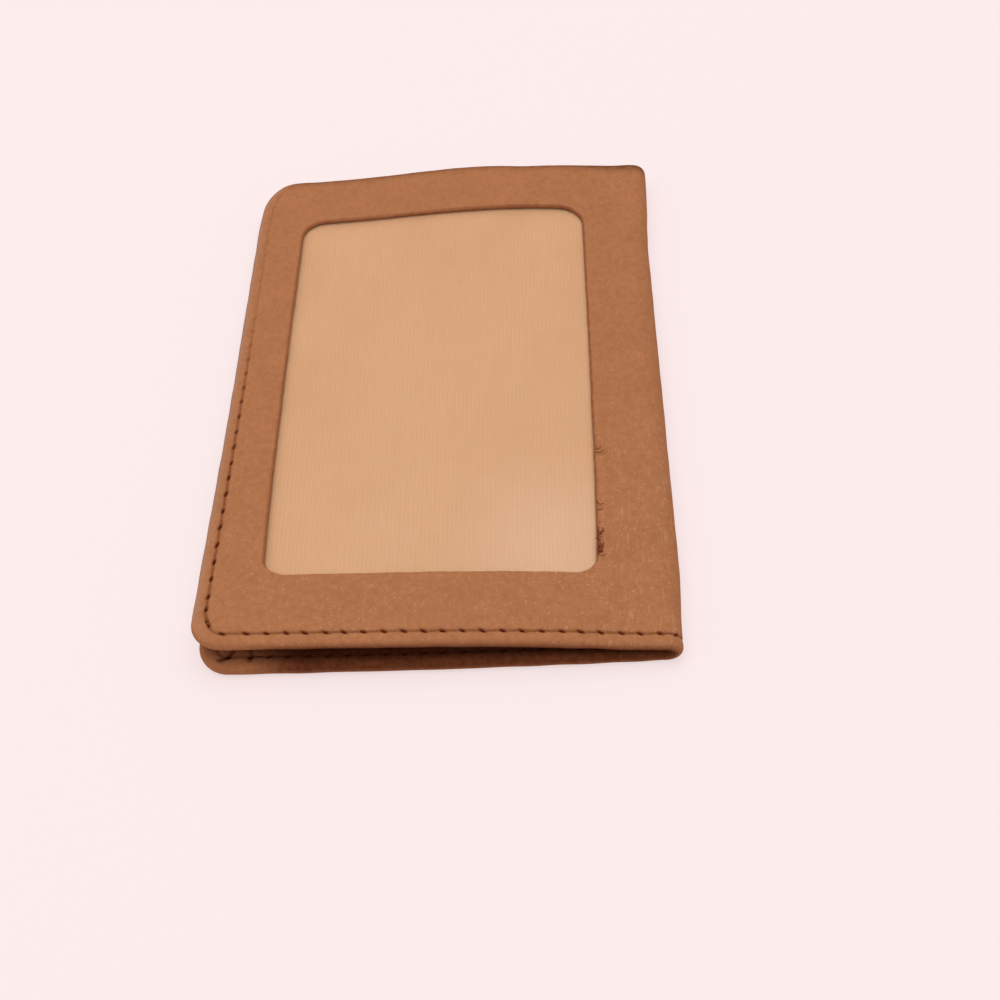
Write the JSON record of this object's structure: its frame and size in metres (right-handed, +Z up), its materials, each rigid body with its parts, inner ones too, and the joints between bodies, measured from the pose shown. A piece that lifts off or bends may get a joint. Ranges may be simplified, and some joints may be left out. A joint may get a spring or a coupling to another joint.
{
  "type": "id badge wallet",
  "caption": "Folding leather wallet with a clear badge window in the front leaf, turned and stitched edges, and card slots inside.",
  "frame": {"origin": "under the middle of the closed wallet, on the surface that it lies on", "axes": "+X across the wallet towards the fold, +Y along the fold, +Z up out of the window"},
  "size_m": [0.0684, 0.1044, 0.0058],
  "materials": {
    "outer_leather": "matt tan-brown nubuck with a fine mottled grain",
    "inner_leather": "darker brown smooth leather",
    "ribbed_lining": "tan cloth with fine ribs along the fold",
    "clear_vinyl": "clear soft vinyl, a little milky",
    "board": "plain grey bonded board"
  },
  "bodies": {
    "back_leaf": {"back_cover": "outer_leather", "back_stiffener": "board", "back_lining": "ribbed_lining", "back_panel": "inner_leather", "rear_slot_lining": "ribbed_lining", "rear_slot_panel": "inner_leather", "front_slot_panel": "inner_leather"},
    "spine": {"spine_cover": "outer_leather", "spine_lining": "ribbed_lining"},
    "front_leaf": {"front_cover": "outer_leather", "window_pane": "clear_vinyl", "window_backing": "ribbed_lining", "front_panel": "inner_leather", "front_fold_lining": "ribbed_lining"}
  },
  "joints": [
    {"name": "back_crease", "type": "hinge", "parent": "back_leaf", "child": "spine", "pos_m": [0.03315, 0, 0.0011], "axis": [0, 1, 0], "range_deg": [0, 89], "deforming": ["spine_cover", "spine_lining"]},
    {"name": "front_crease", "type": "hinge", "parent": "spine", "child": "front_leaf", "pos_m": [0.03315, 0, 0.0047], "axis": [0, 1, 0], "range_deg": [0, 89]}
  ],
  "couplings": [
    {"joint": "front_crease", "follows": "back_crease", "ratio": 1}
  ]
}
